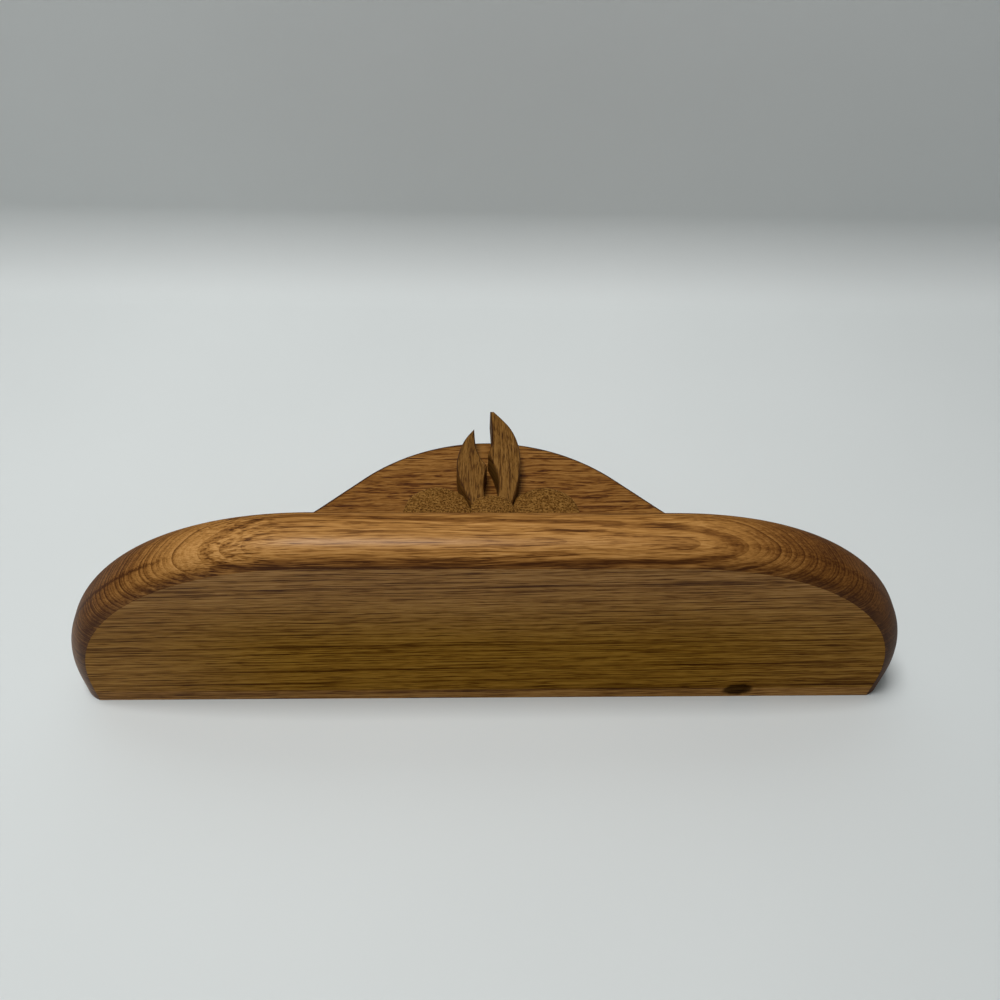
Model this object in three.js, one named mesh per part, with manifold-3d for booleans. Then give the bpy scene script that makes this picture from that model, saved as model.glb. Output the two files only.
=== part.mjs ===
// A small oak wall shelf: a D-shaped shelf board with a bell-shaped back board
// doweled under it, a ribbon bow in relief on the back board's face, and two
// keyhole plates let into the back.
//
// Millimetres. +Z is up, the wall is the plane y = 0 and the shelf stands out
// towards -Y. The origin lies on the wall face, midway between the two plates.

import * as THREE from 'three';
import { mergeVertices } from 'three/addons/utils/BufferGeometryUtils.js';
import Module from 'manifold-3d';

const wasm = await Module();
wasm.setup();

// Shelf board
const shelfWidth = 279.4;
const shelfDepth = 82.5;
const shelfThickness = 20.6;
const frontStraight = 109;
const sideStraight = 9.3;
const cornerFullness = 2.1;
const edgeFlat = 2.9;
const roundOverShy = 0.65;

// Back board
const backWidth = 210;
const backHeight = 83.1;
const backThickness = 20.6;
const crownRadius = 71.5;
const flankAngle = THREE.MathUtils.degToRad(43);
const flareRadius = 52;
const lipWidth = 5;
const lipCornerRadius = 2.5;
const backEase = 2.4;

// How far the back board and its bow sit off the shelf's middle
const backShift = -1.1;

// Dowels between the two boards
const dowelDiameter = 8;
const dowelDepthInShelf = 12;
const dowelDepthInBack = 18;
const dowelSpacing = 80;
const dowelChamfer = 0.8;
const dowelClearance = 0.3;

// Ribbon bow on the back board's face
const bowDrop = 39.4;
const knotWidth = 15.6;
const knotHeight = 12.6;
const knotFullness = 2.2;
const knotEdgeHeight = 10.2;
const knotCrown = 1.8;
const loopReach = 32.6;
const loopHeight = 25.6;
const loopLap = 1.3;
const loopEdgeHeight = 6;
const loopCrown = 2;
const crownFlatShare = 0.1;
const longTailLength = 50.9;
const longTailSpread = 11.4;
const shortTailLength = 41.4;
const shortTailSpread = 13.1;
const tailThickness = 9.5;
const tailEase = 0.7;
const bowClearance = 0.3;

// Keyhole plates and their screws
const plateSpacing = 101.6;
const plateDrop = 20;
const plateWidth = 16;
const plateEndLength = 9.2;
const plateThickness = 1.6;
const plateSetIn = 0.2;
const plateClearance = 0.3;
const keyholeRadius = 4.6;
const keyholeDrop = 3.7;
const slotRadius = 2.3;
const slotRise = 6;
const pocketMargin = 0.9;
const headLap = 2.2;
const pocketDepth = 8;
const screwShankRadius = 1.4;
const screwHeadRadius = 2.75;
const screwHeadHeight = 1.7;
const screwLength = 12.7;
const screwPoint = 3;
const screwClearance = 0.3;
const crossWidth = 0.7;
const crossSpan = 3;
const crossDepth = 1;

// How far a cutter runs past the face that it opens
const past = 1;

// Heights and faces that several pieces share
const undersideZ = plateDrop;
const shelfTopZ = undersideZ + shelfThickness;
const backFaceY = -backThickness;
const bowZ = undersideZ - bowDrop;

// Materials
function material(color, roughness, metalness = 0) {
  return new THREE.MeshStandardMaterial({ color, roughness, metalness });
}
const shelfOak = material(0x6d4b26, 0.5);
const backOak = material(0x8a5c30, 0.5);
const bowOak = material(0x7a5530, 0.55);
const dowelBeech = material(0xc9a36b, 0.7);
const plateSteel = material(0xb9b4a6, 0.35, 1);
const screwSteel = material(0xa9a59c, 0.3, 1);

// Facets round a dowel and a screw
const dowelSides = 24;
const screwSides = 20;

const part = new THREE.Group();

function addPiece(name, geometry, pieceMaterial) {
  const mesh = new THREE.Mesh(geometry, pieceMaterial);
  mesh.name = name;
  part.add(mesh);
}

// Solids

// Joins equal rings of points into one closed solid. The rings run
// anticlockwise seen from the first ring's side, and flatten(point) gives
// the two coordinates in which the end caps are cut into triangles.
function ringSolid(rings, flatten) {
  const count = rings[0].length;
  const positions = rings.flat().flatMap((p) => [p.x, p.y, p.z]);
  const index = [];
  for (let r = 0; r + 1 < rings.length; r += 1) {
    for (let i = 0; i < count; i += 1) {
      const a = r * count + i;
      const b = r * count + ((i + 1) % count);
      index.push(a, a + count, b);
      index.push(b, a + count, b + count);
    }
  }
  const lastStart = (rings.length - 1) * count;
  for (const [i, j, k] of THREE.ShapeUtils.triangulateShape(rings[0].map(flatten), [])) {
    index.push(i, j, k);
  }
  for (const [i, j, k] of THREE.ShapeUtils.triangulateShape(rings.at(-1).map(flatten), [])) {
    index.push(lastStart + i, lastStart + k, lastStart + j);
  }
  const geometry = new THREE.BufferGeometry();
  geometry.setAttribute('position', new THREE.Float32BufferAttribute(positions, 3));
  geometry.setIndex(index);
  return geometry;
}

function toManifold(geometry) {
  const bare = geometry.clone();
  bare.deleteAttribute('normal');
  bare.deleteAttribute('uv');
  const merged = mergeVertices(bare, 1e-5);
  const vertProperties = new Float32Array(merged.attributes.position.array);
  const triVerts = new Uint32Array(merged.index.array);
  return new wasm.Manifold(new wasm.Mesh({ numProp: 3, vertProperties, triVerts }));
}

function toGeometry(solid) {
  const mesh = solid.getMesh();
  const geometry = new THREE.BufferGeometry();
  geometry.setAttribute('position', new THREE.BufferAttribute(new Float32Array(mesh.vertProperties), 3));
  geometry.setIndex(new THREE.BufferAttribute(new Uint32Array(mesh.triVerts), 1));
  return geometry;
}

function cutAway(geometry, cutters) {
  let solid = toManifold(geometry);
  for (const cutter of cutters) {
    solid = solid.subtract(toManifold(cutter));
  }
  return toGeometry(solid);
}

// A prism of an outline drawn in x and z, from the face at y = near back to
// the face at y = far, with near < far.
function prism(shape, near, far) {
  const options = { depth: far - near, bevelEnabled: false, curveSegments: 10 };
  const geometry = new THREE.ExtrudeGeometry(shape, options);
  geometry.rotateX(Math.PI / 2);
  geometry.translate(0, far, 0);
  return geometry;
}

// A turned solid along Z or Y from pairs of radius and place on its axis, the
// lowest place first.
function turnedAlongZ(x, y, pairs) {
  const profile = pairs.map(([radius, z]) => new THREE.Vector2(radius, z));
  return new THREE.LatheGeometry(profile, dowelSides).rotateX(Math.PI / 2).translate(x, y, 0);
}

function turnedAlongY(x, z, pairs) {
  const profile = pairs.map(([radius, y]) => new THREE.Vector2(radius, y));
  return new THREE.LatheGeometry(profile, screwSides).translate(x, 0, z);
}

// Outlines

// Points of an open or closed run with any repeated neighbours dropped.
function withoutRepeats(points) {
  const kept = points.filter((p, i) => i === 0 || p.distanceTo(points[i - 1]) > 1e-4);
  if (kept[0].distanceTo(kept.at(-1)) < 1e-4) {
    kept.pop();
  }
  return kept;
}

// Moves a closed anticlockwise outline inwards by an amount that each point
// may weigh by itself.
function inset(outline, amount, weight = () => 1) {
  const count = outline.length;
  return outline.map((p, i) => {
    const before = outline[(i + count - 1) % count];
    const after = outline[(i + 1) % count];
    const first = new THREE.Vector2(-(p.y - before.y), p.x - before.x).normalize();
    const second = new THREE.Vector2(-(after.y - p.y), after.x - p.x).normalize();
    const mean = first.clone().add(second);
    const reach = amount * weight(p) * 2 / mean.lengthSq();
    return p.clone().addScaledVector(mean, reach);
  });
}

// An outline in x and z as a ring of points at one y.
function ringAt(outline, y) {
  return outline.map((p) => new THREE.Vector3(p.x, y, p.y));
}

const flatInXZ = (p) => new THREE.Vector2(p.x, p.z);

// A piece sawn to an anticlockwise outline, with its front edge rounded over.
function easedPlate(outline, frontY, rearY, ease, weight) {
  const steps = 4;
  const rings = [];
  for (let i = 0; i <= steps; i += 1) {
    const angle = (Math.PI / 2) * (i / steps);
    const inwards = ease * (1 - Math.sin(angle));
    const y = frontY + ease * (1 - Math.cos(angle));
    rings.push(ringAt(inset(outline, inwards, weight), y));
  }
  rings.push(ringAt(outline, rearY));
  return ringSolid(rings, flatInXZ);
}

// Shelf board

// Half of the D's outline as x and forward distance, from the middle of the
// front round to the wall, with the direction that each point faces.
function shelfHalfEdge() {
  const halfFront = frontStraight / 2;
  const across = shelfWidth / 2 - halfFront;
  const along = shelfDepth - sideStraight;
  const power = 2 / cornerFullness;
  const steps = 26;
  const edge = [];
  for (let i = 0; i <= steps; i += 1) {
    const angle = (Math.PI / 2) * (i / steps);
    const sin = Math.max(Math.sin(angle), 1e-9);
    const cos = Math.max(Math.cos(angle), 1e-9);
    const x = halfFront + across * sin ** power;
    const forward = sideStraight + along * cos ** power;
    const facing = new THREE.Vector2(sin ** (2 - power) / across, cos ** (2 - power) / along);
    edge.push({ x, forward, facing: facing.normalize() });
  }
  edge.push({ x: shelfWidth / 2, forward: 0, facing: new THREE.Vector2(1, 0) });
  return edge;
}

// The edge's section: how far each height lies inside the outline. Two equal
// round-overs meet a narrow flat, and leave a fine arris at each face.
function roundOverSection() {
  const roundOverDepth = (shelfThickness - edgeFlat) / 2;
  const roundOverRadius = roundOverDepth + roundOverShy;
  const tilt = Math.acos(roundOverDepth / roundOverRadius);
  const steps = 8;
  const upper = [];
  for (let i = 0; i <= steps; i += 1) {
    const angle = THREE.MathUtils.lerp(tilt, Math.PI / 2, i / steps);
    const inwards = roundOverRadius * (1 - Math.sin(angle));
    const down = roundOverDepth - roundOverRadius * Math.cos(angle);
    upper.push({ inwards, z: shelfTopZ - down });
  }
  const lower = upper.map(({ inwards, z }) => ({ inwards, z: undersideZ + shelfTopZ - z }));
  return upper.concat(lower.reverse());
}

function shelfBlank() {
  const right = shelfHalfEdge();
  const left = right.map(({ x, forward, facing }) => (
    { x: -x, forward, facing: new THREE.Vector2(-facing.x, facing.y) }
  ));
  const edge = left.reverse().concat(right);
  const rings = roundOverSection().map(({ inwards, z }) => edge.map(({ x, forward, facing }) => (
    new THREE.Vector3(x - facing.x * inwards, -(forward - facing.y * inwards), z)
  )));
  return ringSolid(rings, (p) => new THREE.Vector2(p.x, p.y));
}

// Back board

// The bell outline, anticlockwise in x and z: straight top, short straight
// sides, a lip, a hollow flare, a straight flank and a round crown below.
function backOutline() {
  const half = backWidth / 2;
  const bottomZ = undersideZ - backHeight;
  const crownCentreZ = bottomZ + crownRadius;
  const crownEnd = new THREE.Vector2(
    crownRadius * Math.sin(flankAngle),
    crownCentreZ - crownRadius * Math.cos(flankAngle),
  );
  const flareX = half - lipWidth;
  const flareStartX = flareX - flareRadius * Math.sin(flankAngle);
  const flareStartZ = crownEnd.y + (flareStartX - crownEnd.x) * Math.tan(flankAngle);
  const lipZ = flareStartZ + flareRadius * (1 - Math.cos(flankAngle));
  const shape = new THREE.Shape();
  shape.moveTo(0, bottomZ);
  shape.absarc(0, crownCentreZ, crownRadius, -Math.PI / 2, flankAngle - Math.PI / 2, false);
  shape.lineTo(flareStartX, flareStartZ);
  shape.absarc(flareX, lipZ - flareRadius, flareRadius, flankAngle + Math.PI / 2, Math.PI / 2, true);
  shape.lineTo(half - lipCornerRadius, lipZ);
  shape.absarc(half - lipCornerRadius, lipZ + lipCornerRadius, lipCornerRadius, -Math.PI / 2, 0, false);
  shape.lineTo(half, undersideZ);
  const rightSide = withoutRepeats(shape.getPoints(12));
  const leftSide = rightSide.slice(1).reverse().map((p) => new THREE.Vector2(-p.x, p.y));
  return rightSide.concat(leftSide);
}

// The front edge is eased everywhere but along the joint under the shelf.
function backBlank() {
  const weight = (p) => (p.y > undersideZ - 1e-6 ? 0 : 1);
  return easedPlate(backOutline(), backFaceY, 0, backEase, weight).translate(backShift, 0, 0);
}

// Dowels

// Where each dowel stands, in x, along the joint between the boards.
const dowelPlaces = [
  ['left', -dowelSpacing],
  ['middle', 0],
  ['right', dowelSpacing],
];
const dowelY = backFaceY / 2;

function dowel(x) {
  const radius = dowelDiameter / 2;
  const foot = undersideZ - dowelDepthInBack;
  const head = undersideZ + dowelDepthInShelf;
  return turnedAlongZ(x, dowelY, [
    [0, foot],
    [radius - dowelChamfer, foot],
    [radius, foot + dowelChamfer],
    [radius, head - dowelChamfer],
    [radius - dowelChamfer, head],
    [0, head],
  ]);
}

function dowelHoles(fromZ, toZ) {
  const radius = dowelDiameter / 2 + dowelClearance;
  const sides = [[0, fromZ], [radius, fromZ], [radius, toZ], [0, toZ]];
  return dowelPlaces.map(([, x]) => turnedAlongZ(x, dowelY, sides));
}

// Ribbon bow

// Puts points given as shares of a width and a height round the knot's
// middle, from startX on.
function atBow(shares, width, height, startX = 0) {
  return shares.map(([x, z]) => new THREE.Vector2(startX + x * width, bowZ + z * height));
}

// A loop's right-hand outline, from the knot's side to its outer end.
const loopShares = [
  [0, -0.14],
  [0.19, -0.41],
  [0.54, -0.54],
  [0.88, -0.37],
  [1, 0],
  [0.84, 0.34],
  [0.52, 0.46],
  [0.15, 0.27],
];

function loopOutline() {
  const startX = knotWidth / 2 - loopLap;
  const corners = atBow(loopShares, loopReach - startX, loopHeight, startX);
  const knots = corners.map((p) => new THREE.Vector3(p.x, p.y, 0));
  const curve = new THREE.CatmullRomCurve3(knots, true, 'centripetal');
  return withoutRepeats(curve.getSpacedPoints(56).map((p) => new THREE.Vector2(p.x, p.y)));
}

function knotOutline(grow = 0) {
  const power = 2 / knotFullness;
  const steps = 40;
  const outline = [];
  for (let i = 0; i < steps; i += 1) {
    const angle = 2 * Math.PI * (i / steps);
    const [cos, sin] = [Math.cos(angle), Math.sin(angle)];
    const x = Math.sign(cos) * Math.abs(cos) ** power * (knotWidth / 2 + grow);
    const z = Math.sign(sin) * Math.abs(sin) ** power * (knotHeight / 2 + grow);
    outline.push(new THREE.Vector2(x, bowZ + z));
  }
  return outline;
}

// The longer tail hangs on the left and has a hollow inner edge, and the
// shorter one on the right swells inwards. Each starts behind the knot, runs
// down one side in a curve, turns at a slanting cut and comes up the other.
const longTail = {
  downShares: [
    [-0.53, 0],
    [-0.75, -0.14],
    [-0.94, -0.33],
    [-1, -0.49],
    [-0.95, -0.66],
    [-0.7, -0.83],
    [-0.17, -1],
  ],
  cutShares: [[-0.04, -1], [-0.07, -0.79], [-0.04, -0.64]],
  upShares: [[0.07, -0.55], [-0.1, -0.44], [-0.23, -0.31], [-0.22, -0.19], [-0.11, 0]],
};
const shortTail = {
  downShares: [[0.13, 0], [0.21, -0.23], [0.19, -0.38], [0.1, -0.53]],
  cutShares: [[0.29, -0.63], [0.41, -0.75], [0.44, -0.86]],
  upShares: [
    [0.46, -1],
    [0.74, -0.86],
    [0.93, -0.68],
    [0.98, -0.5],
    [0.86, -0.31],
    [0.48, 0],
  ],
};

function tailOutline({ downShares, cutShares, upShares }, spread, length) {
  const [first, ...down] = atBow(downShares, spread, length);
  const [corner, ...up] = atBow(upShares, spread, length);
  const shape = new THREE.Shape();
  shape.moveTo(first.x, first.y);
  shape.splineThru(down);
  for (const p of atBow(cutShares, spread, length)) {
    shape.lineTo(p.x, p.y);
  }
  shape.lineTo(corner.x, corner.y);
  shape.splineThru(up);
  return withoutRepeats(shape.getPoints(3));
}

const longTailOutline = tailOutline(longTail, longTailSpread, longTailLength);
const shortTailOutline = tailOutline(shortTail, shortTailSpread, shortTailLength);

// An outline raised from the back board's face to a rounded crown.
function domed(outline, edgeHeight, crown) {
  const middle = outline.reduce((sum, p) => sum.add(p), new THREE.Vector2());
  middle.divideScalar(outline.length);
  const steps = 8;
  const rings = [];
  for (let i = 0; i <= steps; i += 1) {
    const angle = THREE.MathUtils.lerp(Math.asin(crownFlatShare), Math.PI / 2, i / steps);
    const share = Math.sin(angle);
    const y = backFaceY - edgeHeight - crown * Math.cos(angle);
    rings.push(ringAt(outline.map((p) => middle.clone().lerp(p, share)), y));
  }
  rings.push(ringAt(outline, backFaceY));
  return ringSolid(rings, flatInXZ);
}

function bowTail(outline) {
  return easedPlate(outline, backFaceY - tailThickness, backFaceY, tailEase);
}

// The space that a piece of the bow and the clearance round it take up.
function spaceOf(outline) {
  const front = backFaceY - loopEdgeHeight - loopCrown - tailThickness;
  return ringSolid([ringAt(outline, front), ringAt(outline, backFaceY + past)], flatInXZ);
}

const knotSpace = spaceOf(knotOutline(bowClearance));
const tailSpaces = [longTailOutline, shortTailOutline].map((outline) => (
  spaceOf(inset(outline, -bowClearance))
));

function bowLoop(side) {
  const outline = loopOutline().map((p) => new THREE.Vector2(side * p.x, p.y));
  const anticlockwise = side > 0 ? outline : outline.reverse();
  return cutAway(domed(anticlockwise, loopEdgeHeight, loopCrown), [knotSpace, ...tailSpaces]);
}

// Keyhole plates

// A bar outline with round ends, standing upright.
function uprightSlot(radius, lowZ, highZ) {
  const shape = new THREE.Shape();
  shape.absarc(0, highZ, radius, 0, Math.PI, false);
  shape.absarc(0, lowZ, radius, Math.PI, 2 * Math.PI, false);
  return shape;
}

// The round hole that a screw head enters and the slot above it.
function keyhole() {
  const neck = Math.asin(slotRadius / keyholeRadius);
  const hole = new THREE.Path();
  hole.absarc(0, -keyholeDrop, keyholeRadius, Math.PI / 2 - neck, Math.PI / 2 + neck, true);
  hole.absarc(0, slotRise, slotRadius, Math.PI, 0, true);
  return hole;
}

const plateFaceY = -plateSetIn;
const plateSeatY = plateFaceY - plateThickness;
const slotTopZ = slotRise + slotRadius;
const keyholeFootZ = -keyholeDrop - keyholeRadius;
const platePlaces = [['left', -plateSpacing / 2], ['right', plateSpacing / 2]];
const plateScrewPlaces = [
  ['upper', slotTopZ + plateEndLength / 2],
  ['lower', keyholeFootZ - plateEndLength / 2],
];

function plateOutline(grow = 0) {
  const endRadius = plateWidth / 2;
  const lowZ = keyholeFootZ - plateEndLength + endRadius;
  const highZ = slotTopZ + plateEndLength - endRadius;
  return uprightSlot(endRadius + grow, lowZ, highZ);
}

function keyholePlate(x) {
  const outline = plateOutline();
  outline.holes.push(keyhole());
  const plate = prism(outline, plateSeatY, plateFaceY).translate(x, 0, 0);
  return cutAway(plate, plateScrewPlaces.map(([, z]) => screwSpace(x, z)));
}

function plateScrew(x, z) {
  const tipY = plateFaceY - screwLength;
  const screw = turnedAlongY(x, z, [
    [0, tipY],
    [screwShankRadius, tipY + screwPoint],
    [screwShankRadius, plateFaceY - screwHeadHeight],
    [screwHeadRadius, plateFaceY],
    [0, plateFaceY],
  ]);
  const bars = [[crossSpan, crossWidth], [crossWidth, crossSpan]].map(([across, high]) => (
    new THREE.BoxGeometry(across, 2 * crossDepth, high).translate(x, plateFaceY, z)
  ));
  return cutAway(screw, bars);
}

// The pilot hole and countersink that a screw turns in, with its clearance.
function screwSpace(x, z) {
  const pilotRadius = screwShankRadius + screwClearance;
  const mouthRadius = screwHeadRadius + screwClearance;
  const bottomY = plateFaceY - screwLength - screwClearance;
  return turnedAlongY(x, z, [
    [0, bottomY],
    [pilotRadius, bottomY],
    [pilotRadius, plateFaceY - screwHeadHeight],
    [mouthRadius, plateFaceY],
    [mouthRadius, plateFaceY + past],
    [0, plateFaceY + past],
  ]);
}

// What is cut out of the back board for a plate, the head of the wall screw
// behind it and the plate's own screws.
function plateRecess(x) {
  const pocketRadius = keyholeRadius + pocketMargin;
  const pocket = uprightSlot(pocketRadius, -keyholeDrop, slotTopZ + headLap - pocketRadius);
  return [
    prism(plateOutline(plateClearance), plateSeatY, past).translate(x, 0, 0),
    prism(pocket, plateSeatY - pocketDepth, past).translate(x, 0, 0),
    ...plateScrewPlaces.map(([, z]) => screwSpace(x, z)),
  ];
}

// The finished pieces

const shelfHoles = dowelHoles(undersideZ - past, undersideZ + dowelDepthInShelf + dowelClearance);
addPiece('shelf_board', cutAway(shelfBlank(), shelfHoles), shelfOak);

const backHoles = dowelHoles(undersideZ - dowelDepthInBack - dowelClearance, undersideZ + past);
const recesses = platePlaces.flatMap(([, x]) => plateRecess(x));
addPiece('back_board', cutAway(backBlank(), [...backHoles, ...recesses]), backOak);

for (const [place, x] of dowelPlaces) {
  addPiece(`dowel_${place}`, dowel(x), dowelBeech);
}

const bowPieces = {
  bow_knot: domed(knotOutline(), knotEdgeHeight, knotCrown),
  bow_loop_left: bowLoop(-1),
  bow_loop_right: bowLoop(1),
  bow_tail_left: cutAway(bowTail(longTailOutline), [knotSpace]),
  bow_tail_right: cutAway(bowTail(shortTailOutline), [knotSpace]),
};
for (const [name, geometry] of Object.entries(bowPieces)) {
  addPiece(name, geometry.translate(backShift, 0, 0), bowOak);
}

for (const [side, x] of platePlaces) {
  addPiece(`keyhole_plate_${side}`, keyholePlate(x), plateSteel);
  for (const [height, z] of plateScrewPlaces) {
    addPiece(`plate_screw_${side}_${height}`, plateScrew(x, z), screwSteel);
  }
}

export default part;
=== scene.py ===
# %% [markdown]
# # A small oak wall shelf
#
# This notebook dresses a wall shelf: a D-shaped oak board with a rounded edge,
# a bell-shaped back board under it, and a ribbon bow on the back board. The
# shelf hangs on the wall plane y = 0, and the room is on the side of -Y.
#
# The frame is loaded first. It says how large each piece is and where it sits,
# so everything below takes its place from it.

import math
from types import SimpleNamespace

import bmesh
import bpy
from mathutils import Matrix, Vector


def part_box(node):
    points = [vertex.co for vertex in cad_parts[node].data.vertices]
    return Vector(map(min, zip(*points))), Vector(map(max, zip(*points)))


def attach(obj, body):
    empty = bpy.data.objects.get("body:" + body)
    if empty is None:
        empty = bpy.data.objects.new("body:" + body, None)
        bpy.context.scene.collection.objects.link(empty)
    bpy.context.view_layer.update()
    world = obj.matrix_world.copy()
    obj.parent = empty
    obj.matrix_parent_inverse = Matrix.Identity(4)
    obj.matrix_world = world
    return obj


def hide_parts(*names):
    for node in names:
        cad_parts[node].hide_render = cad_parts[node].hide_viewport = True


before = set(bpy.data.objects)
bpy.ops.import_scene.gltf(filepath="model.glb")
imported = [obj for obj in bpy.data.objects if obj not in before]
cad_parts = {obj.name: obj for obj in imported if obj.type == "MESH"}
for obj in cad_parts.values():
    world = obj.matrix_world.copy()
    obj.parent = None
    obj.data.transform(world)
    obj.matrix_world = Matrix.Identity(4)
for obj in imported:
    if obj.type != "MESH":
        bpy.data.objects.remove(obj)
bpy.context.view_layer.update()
MM = 0.001

# %% [markdown]
# ## The camera
#
# The shelf was photographed lying on its back, from the side of its top edge
# and from above. In the frame of the hanging shelf that is a camera out in the
# room, above the shelf, held almost upside down. Its place, the point on the
# wall that it aims at and its up direction are all that has to be given.

# %% Set up the camera
camera_place = Vector((0.0133, -0.3120, 0.2113))
camera_aim = Vector((-0.0060, 0.0, -0.0495))
camera_up = Vector((0.0029, -0.6413, -0.7674))

forward = (camera_aim - camera_place).normalized()
right = forward.cross(camera_up).normalized()
up = right.cross(forward)
camera = bpy.data.objects.new("camera", bpy.data.cameras.new("camera"))
camera.data.lens = 36
camera.data.sensor_width = 36
camera.data.clip_start = 0.01
turned = Matrix((right, up, -forward)).transposed()
camera.matrix_world = Matrix.Translation(camera_place) @ turned.to_4x4()
bpy.context.scene.collection.objects.link(camera)
bpy.context.scene.camera = camera
print("camera to wall, mm:", round(-camera_place.y / MM))

# %% [markdown]
# ## Writing node maths as Python
#
# Both the wood and the shelf board come from formulas. A small class wraps a
# socket, so that `a * b + 1` adds the Math nodes for it, and a second class
# has the one method that makes any node: its type, its settings, which are
# set first, and what goes into its sockets.

# %% Node maths
class Maths:
    """A number coming out of a socket, for use in Python expressions."""

    def __init__(self, tree, socket):
        self.tree = tree
        self.socket = socket

    def work(self, operation, *values):
        inputs = dict(enumerate(values))
        return self.tree.make("ShaderNodeMath", {"operation": operation}, inputs)

    def __add__(self, other):
        return self.work("ADD", self, other)

    def __sub__(self, other):
        return self.work("SUBTRACT", self, other)

    def __rsub__(self, other):
        return self.work("SUBTRACT", other, self)

    def __mul__(self, other):
        return self.work("MULTIPLY", self, other)

    def __truediv__(self, other):
        return self.work("DIVIDE", self, other)

    def __rtruediv__(self, other):
        return self.work("DIVIDE", other, self)

    def __pow__(self, other):
        return self.work("POWER", self, other)

    __radd__ = __add__
    __rmul__ = __mul__

    def above(self, other):
        return self.work("GREATER_THAN", self, other)

    def least(self, other):
        return self.work("MINIMUM", self, other)

    def most(self, other):
        return self.work("MAXIMUM", self, other)

    def clamped(self):
        return self.least(1.0).most(0.0)

    def one(self, operation):
        return self.work(operation, self)

    def smooth(self, low, high):
        """0 below low and 1 above high, with a soft step between."""
        settings = {"interpolation_type": "SMOOTHSTEP"}
        inputs = {"Value": self, "From Min": low, "From Max": high}
        return self.tree.make("ShaderNodeMapRange", settings, inputs)


class Tree:
    """A node tree, with one method that makes every node in it."""

    def __init__(self, tree):
        self.tree = tree
        self.tree.nodes.clear()

    def make(self, kind, settings=None, inputs=None, output=0):
        node = self.tree.nodes.new(kind)
        for name, value in (settings or {}).items():
            if name == "stops":
                self.set_stops(node.color_ramp, value)
            else:
                setattr(node, name, value)
        for name, value in (inputs or {}).items():
            if isinstance(value, Maths):
                self.tree.links.new(value.socket, node.inputs[name])
            else:
                node.inputs[name].default_value = value
        return Maths(self, node.outputs[output]) if node.outputs else node

    def set_stops(self, ramp, stops):
        while len(ramp.elements) < len(stops):
            ramp.elements.new(0.5)
        for element, (place, colour) in zip(ramp.elements, stops):
            element.position = place
            element.color = (*colour, 1.0)

    def parts(self, vector):
        first = self.make("ShaderNodeSeparateXYZ", None, {0: vector})
        return [Maths(self, socket) for socket in first.socket.node.outputs]

    def vector(self, x, y, z):
        return self.make("ShaderNodeCombineXYZ", None, {0: x, 1: y, 2: z})


print("node maths ready")

# %% [markdown]
# Every material below needs a tree to build in, the place of a point in its
# piece, noise and a way to tint a colour, so each of these has a helper. Places
# are in millimetres, because that is how a maker thinks of a pore or a ring.

# %% Nodes that the materials share
def new_material(name):
    """A material, and the empty tree that its nodes go into."""
    material = bpy.data.materials.new(name)
    material.use_nodes = True
    return material, Tree(material.node_tree)


def in_millimetres(tree):
    """Where a point lies in its piece, in millimetres."""
    place = tree.make("ShaderNodeTexCoord", output="Object")
    scaling = {"operation": "SCALE"}
    return tree.make("ShaderNodeVectorMath", scaling, {0: place, "Scale": 1 / MM})


def noise(tree, place, scale, detail=2.0):
    """Soft noise between 0 and 1."""
    inputs = {"Vector": place, "Scale": scale, "Detail": detail}
    return tree.make("ShaderNodeTexNoise", {"noise_dimensions": "3D"}, inputs)


def tinted(tree, colour, tint, amount):
    """A colour multiplied by a tint, as far as the amount says."""
    blend = {"data_type": "RGBA", "blend_type": "MULTIPLY"}
    return tree.make("ShaderNodeMix", blend, {0: amount, 6: colour, 7: tint}, 2)


print("material helpers ready")

# %% [markdown]
# ## Oak
#
# Oak is ring-porous: each year's growth starts with a row of wide pores, which
# a cut along the grain shows as dark dashes and a cut across it as dots. So the
# wood here is solid. The pattern is worked out from the place of a point in the
# board, not painted on its faces. Growth rings are sheets stacked along one
# direction, pores and fibres are noise drawn out along the grain, and where the
# rounded edge cuts through them, the arcs and the stipple come by themselves.

# %% Noise that is drawn out along the grain
def wood_noise(tree, spot, sizes, detail=2.0):
    """Noise with cells of the given sizes, in millimetres, along, through and
    beside the rings."""
    cells = [value / size for value, size in zip(spot, sizes)]
    return noise(tree, tree.vector(*cells), 1.0, detail)


def along(tree, place, direction):
    """How far a place lies in one direction."""
    settings = {"operation": "DOT_PRODUCT"}
    inputs = {0: place, 1: Vector(direction).normalized()}
    return tree.make("ShaderNodeVectorMath", settings, inputs, "Value")


def at_least(floor, mask):
    """A mask raised so that it never falls below the floor."""
    return floor + (1 - floor) * mask


def wavering(tree, place, grain, rings, waver):
    """Millimetres along the grain, through the rings and beside them, where the
    rings sway as they do in a real trunk."""
    spot = [along(tree, place, direction) for direction in (grain, rings, grain.cross(rings))]
    lengthwise, through, beside = spot
    wide_sway = wood_noise(tree, spot, (90, 24, 24), 1.0) - 0.5
    small_sway = wood_noise(tree, spot, (24, 6, 11), 1.0) - 0.5
    side_sway = wood_noise(tree, spot, (24, 5, 5), 1.0) - 0.5
    through = through + wide_sway * (3.4 * waver) + small_sway * (1.1 * waver)
    return lengthwise, through, beside + side_sway * (2.2 * waver)


# %% [markdown]
# A year's ring begins with a row of pores, so each ring is a dark line that
# fades to one side. Rows of pores end and begin again along the grain, and
# noise breaks the lines in the same way. Where the surface cuts across the
# rows, on end grain and where an edge turns towards it, a row stays whole. A
# few years are much darker than the others and show as single lines right
# along the board.

# %% Rings
faintest_row = 0.35
row_fade = 2.4
drift_cell, drift_years = 3.1, 1.6


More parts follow.
